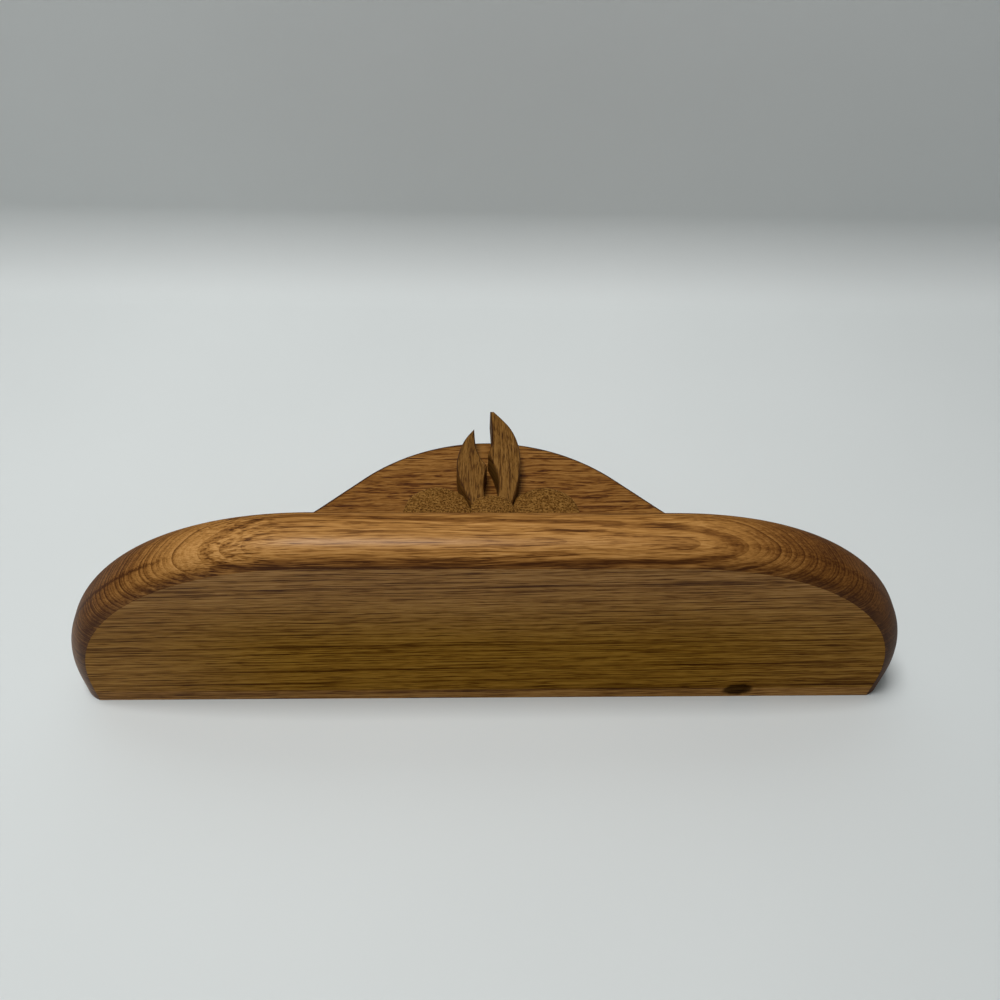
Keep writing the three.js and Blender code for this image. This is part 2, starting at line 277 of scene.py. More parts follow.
def ring_rows(tree, spot, spacing, across_rows):
    """Each year's dark row of pores, sharp on one side, some years darker."""
    through = spot[1]
    one_way = {"noise_dimensions": "1D"}
    slow = {"W": through / drift_cell, "Scale": 1.0, "Detail": 1.0}
    drift = tree.make("ShaderNodeTexNoise", one_way, slow)
    years = through / spacing + drift * drift_years
    strength = tree.make("ShaderNodeTexWhiteNoise", one_way, {"W": years.one("FLOOR")})
    breaks = wood_noise(tree, spot, (34, 0.5, 0.9)).smooth(0.35, 0.6)
    unbroken = (breaks + across_rows).clamped()
    row = (1 - years.one("FRACT")) ** row_fade
    return row * at_least(faintest_row, strength) * at_least(faintest_row, unbroken)


def dark_years(tree, spot, years):
    """Single years that show as one dark line, broken into thin streaks."""
    streaks = wood_noise(tree, spot, (22, 0.5, 0.7)).smooth(0.3, 0.65)
    line = 0
    for centre, width in years:
        offset = (spot[1] - centre) / width
        line = (offset * offset * -1).one("EXPONENT") + line
    return line * at_least(faintest_row, streaks)


# %% [markdown]
# What a surface shows depends on the way it faces, so the masks below come from
# its normal: how much of the end grain shows, whether the rows of pores are cut
# across, and whether the surface is an eased edge or a sawn one.

# %% Which way the surface faces
def facings(tree, grain, rings, end_lean):
    """The surface's normal and the masks that follow from it."""
    normal = tree.make("ShaderNodeNewGeometry", output="Normal")
    end = along(tree, normal, grain + rings * end_lean).one("ABSOLUTE")
    turned = along(tree, normal, grain).one("ABSOLUTE")
    to_room = along(tree, normal, (0, 1, 0)).one("ABSOLUTE")
    frontal = to_room.smooth(0.1, 0.6)
    return SimpleNamespace(
        normal=normal,
        end=end,
        end_grain=end.smooth(0.08, 0.62),
        across_rows=end.smooth(0.1, 0.45).most(turned.smooth(0.16, 0.42)),
        calm=1 - end.smooth(0.05, 0.34).most(turned.smooth(0.12, 0.34)) * 0.75,
        eased=frontal * (1 - to_room.smooth(0.86, 0.998)),
        sawn=1 - frontal,
    )


# %% [markdown]
# A cutter rounded the board's edge. Where the rings meet a rounded end, the pores
# meet in a ragged dark line. Just below the flat face and on the half of the edge
# that faces down, the edge is painted darker as painted shade. Each is a mask that
# is taken away from the tone of the wood.

# %% The ring seam, and painted shade on the rounded edge
def ring_seam(tree, spot, facing, sideways):
    """Where a rounded end grazes the rings, the pores meet in a ragged line."""
    ragged = wood_noise(tree, spot, (1.0, 0.9, 0.9), 1.0) - 0.5
    graze = along(tree, facing.normal, sideways) + ragged * 0.16
    seam = (graze * graze * -420).one("EXPONENT") * at_least(0.3, spot[0].smooth(-100, 40))
    return seam * facing.end.smooth(0.12, 0.4) * (1 - facing.end.smooth(0.85, 0.97))


def painted_shade_by_arris(tree, spot, facing):
    """Painted shade, in patches, on the band of the edge just below the flat face."""
    tilt = tree.parts(facing.normal)[2].one("ABSOLUTE")
    band = tilt.smooth(0.62, 0.88) * (1 - tilt.smooth(0.94, 0.97))
    patches = wood_noise(tree, spot, (18, 2, 2)).smooth(0.25, 0.55)
    return band * at_least(0.4, patches) * (1 - facing.end.smooth(0.3, 0.7))


def painted_shade_below(tree, facing):
    """Painted shade on the half of the rounded edge that faces down, not on the flat underside."""
    down = tree.parts(facing.normal)[2] * -1
    shade = down.smooth(-0.15, 0.5) + down.smooth(0.5, 0.8) * 0.6
    return shade * (1 - down.smooth(0.93, 0.98))


# %% [markdown]
# The photo shows one small dark knot near the wall, with the rings swerving
# round it. An oval, roughened by noise, darkens the wood, and the same oval
# pushes the rings aside before they are worked out.

# %% A pin knot
def pin_knot(tree, place, centre, size, slant):
    """A small dark knot, and how far the rings swerve round it."""
    x, y, z = tree.parts(place)
    across = (x - centre[0]) * math.cos(slant) + (y - centre[1]) * math.sin(slant)
    away = (y - centre[1]) * math.cos(slant) - (x - centre[0]) * math.sin(slant)
    ragged = wood_noise(tree, (x, y, z), (2.5, 2.5, 6)) - 0.5
    squared = (across / size[0]) ** 2.0 + (away / size[1]) ** 2.0 + ragged * 0.9
    near_top = z.smooth(centre[2] - 9, centre[2] - 5)
    mask = (1 - squared.smooth(0.45, 1.3)) * near_top
    swerve = (squared * -0.45).one("EXPONENT") * away * 0.35 * near_top
    return mask * (0.86 + ragged * 0.24), swerve


# %% [markdown]
# The figure of the wood is a handful of layers. Broad and narrow bands vary its
# tone, long noise cells give streaks and fibres along the grain, and the pores
# lie thickest in the rows. A fine stipple shows on end grain only.

# %% Layers of the figure
def wood_layers(tree, spot, spacing, facing):
    """The layers of the figure; those that lighten and darken centre on 0."""
    rows = ring_rows(tree, spot, spacing, facing.across_rows)
    short = wood_noise(tree, spot, (12, 0.42, 0.42)).smooth(0.49, 0.66)
    long = wood_noise(tree, spot, (44, 0.75, 0.75), 3.0).smooth(0.51, 0.64)
    pores = wood_noise(tree, spot, (5, 0.3, 0.3), 1.0).smooth(0.56, 0.68)
    stipple = wood_noise(tree, spot, (5, 0.62, 0.62)).smooth(0.25, 0.75) - 0.5
    return SimpleNamespace(
        rows=rows,
        broad=wood_noise(tree, spot, (60, 8, 8)) - 0.5,
        bands=wood_noise(tree, spot, (30, 0.8, 1.8), 3.0) - 0.5,
        streaks=short * 0.36 + long * 0.3,
        fibres=wood_noise(tree, spot, (7, 0.22, 0.22)) - 0.5,
        pores=pores * (0.35 + rows),
        stipple=stipple * facing.end_grain,
    )


# %% [markdown]
# The material adds the layers up into one tone from dark to light, which a ramp
# of four browns turns into colour. On end grain the long streaks would look
# like crumbs, so there they are calmed and the stipple takes over. Round the
# shelf board's ends a second, closer set of rings fills the gaps in the first.
# Stain sinks deeper into end grain, so it turns darker. Sawn edges and their eased
# corners are rougher and duller, and they are painted darker as painted shade.
#
# The shine is all in a thin coat of satin varnish, which lies over wood that
# has none of its own, and the pores sink in as a bump. On the shelf board the
# varnish is thicker towards the right and at the tips, where end grain took
# more. Its right-hand tip is painted lighter as a painted sheen, and its
# left-hand tip darker as painted shade.

# %% The oak material
close_spacing = 0.7
tip_start, tip_end = 125, 138
# A painted yellow reflection with painted shade, which tints the shelf's top near the wall.
yellow_reflection_and_shade = (0.76, 0.76, 0.34, 1)
knot_brown = (0.04, 0.02, 0.003, 1)


def oak(name, grain, rings, tones, spacing=1.3, waver=0.5, strong_rings=(), contrast=1.0,
        lightness=0.84, end_shade=0.0, end_lean=0.0, seams_and_edge_shade=0.0, rim=0.0, dots=0.15, coarse=1.0,
        length=1.0, knot=None, top=None):
    """Oak whose grain and whose way through the rings have the given directions.

    A year is spacing millimetres wide, waver sways the rings, and coarse and
    length stretch the figure. Contrast and lightness set the tone. End_shade
    darkens end grain, end_lean turns its masks a little towards the rings, and
    dots is its stipple. The seams and edge shade set the ragged ring seam and the
    painted shade on the rounded edge, and rim is painted shade on sawn and eased
    edges, which are rougher too.
    """
    material, tree = new_material(name)
    grain, rings = Vector(grain).normalized(), Vector(rings).normalized()
    place = in_millimetres(tree)
    lengthwise, through, beside = wavering(tree, place, grain, rings, waver)
    if knot:
        knot_mask, swerve = pin_knot(tree, place, **knot)
        through = through + swerve
    spot = (lengthwise / length, through / coarse, beside / coarse)
    facing = facings(tree, grain, rings, end_lean)
    wood = wood_layers(tree, spot, spacing / coarse, facing)
    end_grain = facing.end_grain

    fine = wood.fibres * (0.5 - end_grain * 0.2)
    fine = fine + (wood.bands * 0.4 - wood.streaks - wood.pores * 0.4) * facing.calm
    fine = fine + wood.stipple * dots
    ring_depth = 0.4 + end_grain * 0.45
    if seams_and_edge_shade:
        to_right = lengthwise.smooth(-60, 80)
        ring_depth = 0.4 + end_grain * (to_right * 0.5 - 0.2)
        close_rings = ring_rows(tree, spot, close_spacing, facing.across_rows)
        fine = fine - close_rings * facing.across_rows * 0.35
    fine = fine - wood.rows * ring_depth * (1 - dots * 0.7)
    tone = lightness + fine * contrast + wood.broad * 0.25 - end_grain * end_shade
    relief = (wood.fibres * 0.5 - wood.rows - wood.pores - wood.streaks) * facing.calm
    if strong_rings:
        dark_line = dark_years(tree, spot, strong_rings) * (1 - facing.across_rows * 0.8)
        tone = tone - dark_line * 0.42
        relief = relief - dark_line * 0.4

    coat = 0.2 - dots * 0.15
    if seams_and_edge_shade:
        tone = tone - ring_seam(tree, spot, facing, grain.cross(rings)) * seams_and_edge_shade
        # Painted shade on the band of the edge just below the flat face.
        tone = tone - painted_shade_by_arris(tree, spot, facing) * seams_and_edge_shade
        tone = tone - end_grain * (1 - to_right) * 0.07
        # Painted shade on the half of the edge that faces down, whose varnish is thinner too.
        below = painted_shade_below(tree, facing) * (1 - end_grain * 0.6)
        # Painted light on the tips: the right-hand tip is painted lighter as a painted sheen, and
        # the left-hand one darker as painted shade. Both tips get more varnish.
        tip = lengthwise.one("ABSOLUTE").smooth(tip_start, tip_end) * end_grain
        tone = tone - below * 0.2 + tip * (to_right * 0.28 - 0.1)
        coat = (coat + wood.fibres * 0.1 + to_right * 0.06) * (1 - below * 0.6)
        coat = coat + tip * (0.1 + to_right * 0.25)
    # Painted shade on eased corners, and more faintly on sawn sides, which are rougher as well.
    if rim:
        tone = tone - (facing.eased + facing.sawn * 0.3) * rim
    stops = list(zip((0.0, 0.35, 0.65, 1.0), tones))
    colour = tree.make("ShaderNodeValToRGB", {"stops": stops}, {0: tone})
    # Painted yellow reflection and painted shade on the top near the wall, where the varnish is
    # taken off.
    if top:
        painted_reflection_mask = top(tree, place, facing.normal)
        colour = tinted(tree, colour, yellow_reflection_and_shade, painted_reflection_mask)
        coat = coat * (1 - painted_reflection_mask * 0.95)
    if knot:
        colour = tinted(tree, colour, knot_brown, knot_mask)
        coat = coat * (1 - knot_mask)

    sunk = {"Strength": 0.6, "Distance": 0.14 * MM, "Height": relief}
    roughness = 0.36 + wood.pores * 0.2 + wood.rows * 0.1 + end_grain * 0.15 + wood.broad * 0.1
    if rim:
        roughness = roughness + (facing.eased + facing.sawn) * 0.35
    shader = tree.make("ShaderNodeBsdfPrincipled", None, {
        "Base Color": colour,
        "Roughness": roughness,
        "Normal": tree.make("ShaderNodeBump", None, sunk),
        "Specular IOR Level": 0.0,
        "Coat Weight": coat,
        "Coat Roughness": 0.34,
    })
    tree.make("ShaderNodeOutputMaterial", None, {"Surface": shader})
    return material


print("oak ready")

# %% [markdown]
# The boards and the bow were sawn from different pieces. The shelf board is
# sawn so that its top shows straight lines and its front edge cuts the rings
# almost flat, 20 degrees off. The tails have their grain along their length,
# and the knot and loops are blocks that show their end grain to the room.
# Towards the wall the shelf's top is painted with a yellow reflection and with
# shade, and its varnish is taken off, most of all away from its ends; a narrow
# strip at the wall keeps most of its colour and varnish.

# %% Make the oaks
ring_tilt = math.radians(20)
run_out = 0.021
shelf_grain = (1, run_out, 0)
shelf_rings = (run_out, -math.cos(ring_tilt), math.sin(ring_tilt))
shelf_tones = (
    (0.055, 0.017, 0.003), (0.16, 0.062, 0.012), (0.33, 0.152, 0.036), (0.52, 0.27, 0.085),
)
back_tones = (
    (0.04, 0.011, 0.003), (0.105, 0.035, 0.006), (0.2, 0.083, 0.016), (0.32, 0.152, 0.038),
)
bow_tones = (
    (0.030, 0.010, 0.002), (0.082, 0.033, 0.006), (0.155, 0.069, 0.013), (0.25, 0.125, 0.03),
)

# Each dark year's place through the rings and its width, in millimetres.
shelf_years = ((19.2, 0.9), (25.6, 0.5), (33.1, 0.5), (46.7, 0.6), (77.2, 0.6), (86.7, 0.4))
shelf_knot = {"centre": (-86.3, -5.0, 40.6), "size": (5.3, 4.2), "slant": math.radians(8)}


def painted_reflection_on_top(tree, place, normal):
    """Where the top is painted with a yellow reflection and shade, and loses its
    varnish: towards the wall, up to a strip beside it, and less so towards its ends."""
    x, y = tree.parts(place)[:2]
    upwards = tree.parts(normal)[2].smooth(0.9, 0.99)
    inward = 1 - x.smooth(60, 125) * 0.5 - (x * -1).smooth(60, 125) * 0.25
    return y.smooth(-76, -30) * (1 - y.smooth(-7, -5) * 0.7) * upwards * inward


shelf_oak = oak("shelf_wood", shelf_grain, shelf_rings, shelf_tones,
                strong_rings=shelf_years, contrast=1.15, lightness=0.875, end_shade=0.46,
                end_lean=-0.16, seams_and_edge_shade=0.42, knot=shelf_knot, top=painted_reflection_on_top)
back_oak = oak("back_wood", (1, 0, 0.03), (0, -0.5, 0.86), back_tones, spacing=2.6,
               waver=1.1, contrast=1.2, end_shade=0.1, rim=0.8, coarse=1.5, length=0.7)
tail_oak = oak("tail_wood", (0.06, 0, 1), (0.8, -0.6, 0), bow_tones, waver=0.9,
               contrast=1.15, end_shade=0.05, rim=0.4, length=0.45)
bow_oak = oak("bow_wood", (0.1, 1, 0.1), (0.3, 0, 1), bow_tones, waver=0.8,
              contrast=1.05, end_shade=0.1, dots=0.85)
print("oaks:", [m.name for m in (shelf_oak, back_oak, tail_oak, bow_oak)])

# %% [markdown]
# ## Steel and beech
#
# The hangers are zinc-plated sheet. One coarse noise mottles its colour and its
# shine, and a finer one gives it a faint grit. The dowels inside the joint are
# pale beech, which is the oak above with lighter tones and less contrast.

# %% Plated steel and beech
def plated_steel(name, colour, roughness):
    """Zinc plating, which a coarse noise makes paler and duller in patches."""
    material, tree = new_material(name)
    place = in_millimetres(tree)
    mottle = noise(tree, place, 0.8, 3.0)
    stops = [(0.3, [c * 0.8 for c in colour]), (0.7, colour)]
    grit = {"Strength": 0.3, "Distance": 0.02 * MM, "Height": noise(tree, place, 7.0)}
    shader = tree.make("ShaderNodeBsdfPrincipled", None, {
        "Base Color": tree.make("ShaderNodeValToRGB", {"stops": stops}, {0: mottle}),
        "Metallic": 1.0,
        "Roughness": roughness + (mottle - 0.5) * 0.2,
        "Normal": tree.make("ShaderNodeBump", None, grit),
    })
    tree.make("ShaderNodeOutputMaterial", None, {"Surface": shader})
    return material


plate_steel = plated_steel("plate_zinc", (0.62, 0.60, 0.54), 0.32)
screw_steel = plated_steel("screw_zinc", (0.52, 0.51, 0.48), 0.27)
beech_tones = ((0.42, 0.26, 0.13), (0.5, 0.33, 0.18), (0.58, 0.4, 0.23), (0.64, 0.46, 0.28))
dowel_beech = oak("dowel_wood", (0, 0, 1), (1, 0, 0), beech_tones, spacing=1.1, waver=0.4,
                  contrast=0.4)
print("steel and beech ready")

# %% [markdown]
# ## Helpers for shapes
#
# A loft joins equal rings of points into one closed solid, as a pile of sawn
# outlines would. Cutting away uses Blender's exact boolean, and the result is
# kept as a plain mesh. Edges over a chosen angle stay crisp.

# %% Lofting, cutting and finishing
same_point = 0.0001 * MM


def new_piece(name, mesh):
    piece = bpy.data.objects.new(name, mesh)
    bpy.context.scene.collection.objects.link(piece)
    return piece


def loft(name, loops):
    """A closed solid from equal rings of points, with flat ends."""
    shell = bmesh.new()
    rows = [[shell.verts.new(p) for p in loop] for loop in loops]
    count = len(rows[0])
    for before, after in zip(rows, rows[1:]):
        for i in range(count):
            j = (i + 1) % count
            shell.faces.new((before[i], before[j], after[j], after[i]))
    shell.faces.new(rows[0])
    shell.faces.new(rows[-1])
    bmesh.ops.remove_doubles(shell, verts=shell.verts, dist=same_point)
    bmesh.ops.recalc_face_normals(shell, faces=shell.faces)
    mesh = bpy.data.meshes.new(name)
    shell.to_mesh(mesh)
    shell.free()
    return new_piece(name, mesh)


def settled(piece):
    """Applies the piece's modifiers and keeps the result as its plain mesh."""
    depsgraph = bpy.context.evaluated_depsgraph_get()
    mesh = bpy.data.meshes.new_from_object(piece.evaluated_get(depsgraph))
    piece.modifiers.clear()
    piece.data = mesh
    return piece


def cut_away(piece, cutters):
    for cutter in cutters:
        modifier = piece.modifiers.new("cut", "BOOLEAN")
        modifier.operation = "DIFFERENCE"
        modifier.solver = "EXACT"
        modifier.object = cutter
    settled(piece)
    for cutter in cutters:
        bpy.data.objects.remove(cutter)
    return piece


def finish_piece(piece, material, nodes, crisp=15):
    """Shading, material and what the frame has to know about a piece."""
    piece.data.materials.clear()
    piece.data.materials.append(material)
    piece.data.shade_smooth()
    piece.data.set_sharp_from_angle(angle=math.radians(crisp))
    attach(piece, "root")
    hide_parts(*nodes)
    print(piece.name, "faces:", len(piece.data.polygons))


# %% Turned shapes and prisms
def turned_solid(name, profile, axis, sides=48):
    """A turned solid from pairs of radius and place along Y or Z."""
    rows = []
    for radius, place in profile:
        ring = []
        for i in range(sides):
            angle = 2 * math.pi * i / sides
            a, b = radius * math.cos(angle), radius * math.sin(angle)
            ring.append((a, place, b) if axis == "Y" else (a, b, place))
        rows.append(ring)
    return loft(name, rows)


def moved(piece, x=0.0, y=0.0, z=0.0):
    piece.data.transform(Matrix.Translation((x, y, z)))
    return piece


def ring_at(y, outline):
    """An outline in x and z as a ring of points at one distance from the wall."""
    return [(p.x, y, p.y) for p in outline]


def prism(name, outline, near, far):
    return loft(name, [ring_at(near, outline), ring_at(far, outline)])


print("shape helpers ready")

# %% [markdown]
# ## The shelf board
#
# Its outline follows a rule: a straight front, corners that are a quarter of a
# slightly squared ellipse, and short straight sides to the wall. Its edge is
# two quarter rounds that stop just short of the faces, which leaves the fine
# line that runs round the top. A Geometry Nodes tree makes it from a grid whose
# columns go round the outline and whose rows go down the edge, so each size is
# an input that can be changed.

# %% Inputs of a Geometry Nodes tree
def geometry_tree(name, sizes):
    """A tree with named inputs, and a dictionary of what comes out of them."""
    group = bpy.data.node_groups.new(name, "GeometryNodeTree")
    tree = Tree(group)
    group.interface.new_socket("Geometry", in_out="OUTPUT", socket_type="NodeSocketGeometry")
    entry = group.nodes.new("NodeGroupInput")
    kinds = {float: "NodeSocketFloat", int: "NodeSocketInt"}
    for label, value in sizes.items():
        kind = kinds.get(type(value), "NodeSocketMaterial")
        if isinstance(value, bpy.types.Object):
            kind = "NodeSocketObject"
        group.interface.new_socket(label, in_out="INPUT", socket_type=kind)
    return tree, {s.name: Maths(tree, s) for s in entry.outputs if s.name}


def grown(name, tree, sizes):
    """Runs a tree with the given sizes and keeps the result as a plain mesh."""
    piece = new_piece(name, bpy.data.meshes.new(name))
    modifier = piece.modifiers.new("nodes", "NODES")
    modifier.node_group = tree.tree
    for socket in tree.tree.interface.items_tree:
        if socket.in_out == "INPUT":
            modifier[socket.identifier] = sizes[socket.name]
    return settled(piece)


def point_grid(tree, across, down, width=1.0, height=1.0):
    """A flat grid of points, 1 m wide and high if nothing else is said."""
    sizes = {"Size X": width, "Size Y": height, "Vertices X": across, "Vertices Y": down}
    return tree.make("GeometryNodeMeshGrid", None, sizes)


def welded(tree, geometry):
    """Geometry whose points become one where they lie within a thousandth of a
    millimetre."""
    inputs = {"Geometry": geometry, "Distance": 0.001 * MM}
    return tree.make("GeometryNodeMergeByDistance", None, inputs)


def end_tree(tree, geometry, material):
    """Ends a tree with plain geometry that wears its material."""
    real = tree.make("GeometryNodeRealizeInstances", None, {"Geometry": geometry})
    worn = {"Geometry": real, "Material": material}
    tree.make("NodeGroupOutput", None, {0: tree.make("GeometryNodeSetMaterial", None, worn)})


# %% Sizes of the shelf board
shelf_low, shelf_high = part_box("shelf_board")
shelf_sizes = {
    "Width": shelf_high.x - shelf_low.x,
    "Depth": shelf_high.y - shelf_low.y,
    "Top": shelf_high.z,
    "Thickness": shelf_high.z - shelf_low.z,
    "Front Straight": 109 * MM,
    "Side Straight": 9.3 * MM,
    "Fullness": 2.1,
    "Edge Flat": 2.9 * MM,
    "Shy": 0.65 * MM,
    "Points Round": 400,
    "Points Down": 40,
    "Oak": shelf_oak,
}
measured = [shelf_sizes[label] / MM for label in ("Width", "Depth", "Thickness")]
print("shelf board, mm:", [round(size, 1) for size in measured])


# %% The rule of the outline and the edge
def board_point(get, column, row):
    """Where the board's edge lies at a column round it and a row down it.

    The first and the last column stand at the wall, and those between them go
    round the outline from end to end.
    """
    half_front = get["Front Straight"] / 2
    across = get["Width"] / 2 - half_front
    reach = get["Depth"] - get["Side Straight"]
    power = 2 / get["Fullness"]
    column = column.work("MODULO", column, get["Points Round"])
    inner = ((column - 1) / (get["Points Round"] - 3)).clamped()
    angle = (inner - 0.5) * math.pi
    side = angle.one("SIGN")
    above_nothing = 1e-6
    sine = angle.one("SINE").one("ABSOLUTE").most(above_nothing)
    cosine = angle.one("COSINE").most(above_nothing)
    at_wall = (0.5 - column).above(0) + (column - get["Points Round"] + 1.5).above(0)
    x = side * (half_front + across * sine ** power)
    forward = (get["Side Straight"] + reach * cosine ** power) * (1 - at_wall)
    face_x = sine ** (2 - power) / across
    face_y = cosine ** (2 - power) / reach
    length = (face_x * face_x + face_y * face_y) ** 0.5

    depth = (get["Thickness"] - get["Edge Flat"]) / 2
    radius = depth + get["Shy"]
    rows = get["Points Down"]
    step = row.least(rows - 1 - row) / (rows / 2 - 1)
    lower = (row - rows / 2 + 0.5).above(0)
    tilt = (depth / radius).one("ARCCOSINE")
    turn = tilt + (math.pi / 2 - tilt) * step
    inwards = radius * (1 - turn.one("SINE"))
    down = depth - radius * turn.one("COSINE")
    z = get["Top"] - down + lower * (2 * down - get["Thickness"])
    x = x - side * face_x / length * inwards
    y = (face_y / length * inwards) * (1 - at_wall) - forward
    return x, y, z


# %% Build the shelf board's tree
def shelf_board_tree(sizes):
    """The edge as a grid, and each flat face as a circle with one face, which
    the same rule puts on the edge's first and last row."""
    tree, get = geometry_tree("D-shaped board", sizes)
    x, y = tree.parts(tree.make("GeometryNodeInputPosition"))[:2]
    row_count, column_count = get["Points Down"], get["Points Round"]
    column = ((x + 0.5) * column_count).one("ROUND")
    row = ((y + 0.5) * (row_count - 1)).one("ROUND")
    edge = tree.make("GeometryNodeSetPosition", None, {
        "Geometry": point_grid(tree, column_count + 1, row_count),
        "Position": tree.vector(*board_point(get, column, row)),
    })
    faces = [edge]
    index = tree.make("GeometryNodeInputIndex")
    one_face = {"fill_type": "NGON"}
    for last_row in (0, row_count - 1):
        circle = tree.make("GeometryNodeMeshCircle", one_face, {"Vertices": column_count})
        at_row = index * 0 + last_row
        faces.append(tree.make("GeometryNodeSetPosition", None, {
            "Geometry": circle, "Position": tree.vector(*board_point(get, index, at_row)),
        }))
    faces[1] = tree.make("GeometryNodeFlipFaces", None, {"Mesh": faces[1]})
    return tree, get, faces


def join_up(tree, get, faces):
    """Joins the edge and the two flat faces, and gives the board its material."""
    joined = tree.make("GeometryNodeJoinGeometry")
    for face in faces:
        tree.tree.links.new(face.socket, joined.socket.node.inputs[0])
    end_tree(tree, welded(tree, joined), get["Oak"])


board_tree, board_inputs, board_faces = shelf_board_tree(shelf_sizes)
join_up(board_tree, board_inputs, board_faces)
shelf_board = grown("shelf_board_oak", board_tree, shelf_sizes)
print("shelf board points:", len(shelf_board.data.vertices))

# %% [markdown]
# ## The dowels and their holes
#
# Three beech dowels hold the two boards together. They keep the frame's own
# shapes, as nobody sees them, and each board is drilled where they stand, a
# little wider and deeper, which leaves room for the glue.

# %% Drill for the dowels
dowel_names = ("dowel_left", "dowel_middle", "dowel_right")
glue_room = 0.3 * MM
past = 1 * MM


def dowel_drills(from_z=None, to_z=None):
    drills = []
    for name in dowel_names:
        low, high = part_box(name)
        centre = (low + high) / 2
        radius = (high.y - low.y) / 2 + glue_room
        foot = low.z - glue_room if from_z is None else from_z
        head = high.z + glue_room if to_z is None else to_z
        drill = turned_solid("drill", [(radius, foot), (radius, head)], "Z")
        drills.append(moved(drill, centre.x, centre.y))
    return drills


cut_away(shelf_board, dowel_drills(from_z=shelf_low.z - past))
finish_piece(shelf_board, shelf_oak, ["shelf_board"])
for name in dowel_names:
    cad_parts[name].material_slots[0].material = dowel_beech

# %% [markdown]
# ## The back board
#
# The back board is a bell seen from the front: a round crown below, straight
# flanks, a hollow flare and a narrow lip under the shelf. It was sawn to that
# line and its front edge was eased. The outline is gathered here as points that
# each know which way they face, so moving inwards for the eased edge is exact.

# %% The bell outline
back_low, back_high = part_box("back_board")


def arc(centre, radius, start, end, steps, hollow=False):
    """Points and facings along an arc; a hollow arc faces its own centre."""
    points = []
    for i in range(steps + 1):
        angle = math.radians(start + (end - start) * i / steps)
        facing = Vector((math.cos(angle), math.sin(angle)))
        points.append((centre + facing * radius, -facing if hollow else facing))
    return points


def bell_outline(flank=43, crown=71.5 * MM, flare=52 * MM, lip=5 * MM, corner=2.5 * MM):
    half = (back_high.x - back_low.x) / 2
    crown_centre = Vector((0, back_low.z + crown))
    lean = math.radians(flank)
    crown_end = crown_centre + crown * Vector((math.sin(lean), -math.cos(lean)))
    flare_x = half - lip
    start_x = flare_x - flare * math.sin(lean)
    start_z = crown_end.y + (start_x - crown_end.x) * math.tan(lean)
    lip_z = start_z + flare * (1 - math.cos(lean))
    flare_centre = Vector((flare_x, lip_z - flare))
    corner_centre = Vector((half - corner, lip_z + corner))
    run = arc(crown_centre, crown, -90, flank - 90, steps=40)
    run += arc(flare_centre, flare, flank + 90, 90, steps=24, hollow=True)
    run += arc(corner_centre, corner, -90, 0, steps=10)
    run.append((Vector((half, back_high.z)), Vector((1, 0))))
    mirrored = [(Vector((-p.x, p.y)), Vector((-n.x, n.y))) for p, n in run[1:]]
    return run + mirrored[::-1]


bell = bell_outline()
off_middle = (back_low.x + back_high.x) / 2
print("bell points:", len(bell), "off the middle, mm:", round(off_middle / MM, 2))


# %% Loft the back board
def bell_ring(y, inwards):
    ring = []
    for point, facing in bell:
        moved_in = point - facing * inwards
        ring.append((moved_in.x + off_middle, y, moved_in.y))
    return ring


def eased_section(ease, steps=8):
    """How far in and how far back a rounded edge lies at each step."""
    turns = [math.pi / 2 * i / steps for i in range(steps + 1)]
    return [(ease * (1 - math.sin(t)), ease * (1 - math.cos(t))) for t in turns]


back_ease = 2.4 * MM
back_rings = []
for inwards, back in eased_section(back_ease):
    back_rings.append(bell_ring(back_low.y + back, inwards))
back_board = loft("back_board_oak", back_rings + [bell_ring(back_high.y, 0)])

# %% [markdown]
# ## The plates' recesses
#
# Each keyhole plate is let into the back board, a hair below its rear face.
# Behind its hole and slot the wood is routed out for the head of the wall
# screw, and two small screws hold it. The same outlines cut the wood here and
# make the steel further down.

# %% Outlines of the plates
plate_names = ("keyhole_plate_left", "keyhole_plate_right")
plate_low, plate_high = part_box(plate_names[0])
plate_radius = (plate_high.x - plate_low.x) / 2
face_y, seat_y = plate_high.y, plate_low.y
hole_radius, hole_z = 4.6 * MM, -3.7 * MM
slot_radius, slot_z = 2.3 * MM, 6 * MM
pocket_radius, pocket_top, pocket_depth = 5.5 * MM, 5 * MM, 8 * MM
plate_room = 0.3 * MM


def upright_bar(radius, low_z, high_z, steps=24):
    """A bar with round ends, from the centre of one to the centre of the other."""
    upper = arc(Vector((0, high_z)), radius, 0, 180, steps)
    lower = arc(Vector((0, low_z)), radius, 180, 360, steps)
    return [point for point, _ in upper + lower]


def plate_outline(room=0.0):
    radius = plate_radius + room
    return upright_bar(radius, plate_low.z + plate_radius, plate_high.z - plate_radius)


def keyhole_outline():
    neck = math.degrees(math.asin(slot_radius / hole_radius))
    hole = arc(Vector((0, hole_z)), hole_radius, 90 + neck, 450 - neck, steps=48)
    slot = arc(Vector((0, slot_z)), slot_radius, 0, 180, steps=16)
    return [point for point, _ in hole + slot]


# %% Cut the recesses
screw_length, screw_radius = 12.7 * MM, 1.4 * MM
head_radius, head_height = 2.75 * MM, 1.7 * MM
screw_room = 0.3 * MM
screw_feet = [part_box(f"plate_screw_left_{end}")[0].z for end in ("upper", "lower")]
screw_zs = [foot + head_radius for foot in screw_feet]
plate_xs = [sum(corner.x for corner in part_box(name)) / 2 for name in plate_names]


def screw_drill(x, z):
    pilot, mouth = screw_radius + screw_room, head_radius + screw_room
    profile = [
        (pilot, face_y - screw_length - screw_room),
        (pilot, face_y - head_height),
        (mouth, face_y),
        (mouth, face_y + past),
    ]
    return moved(turned_solid("drill", profile, "Y"), x=x, z=z)


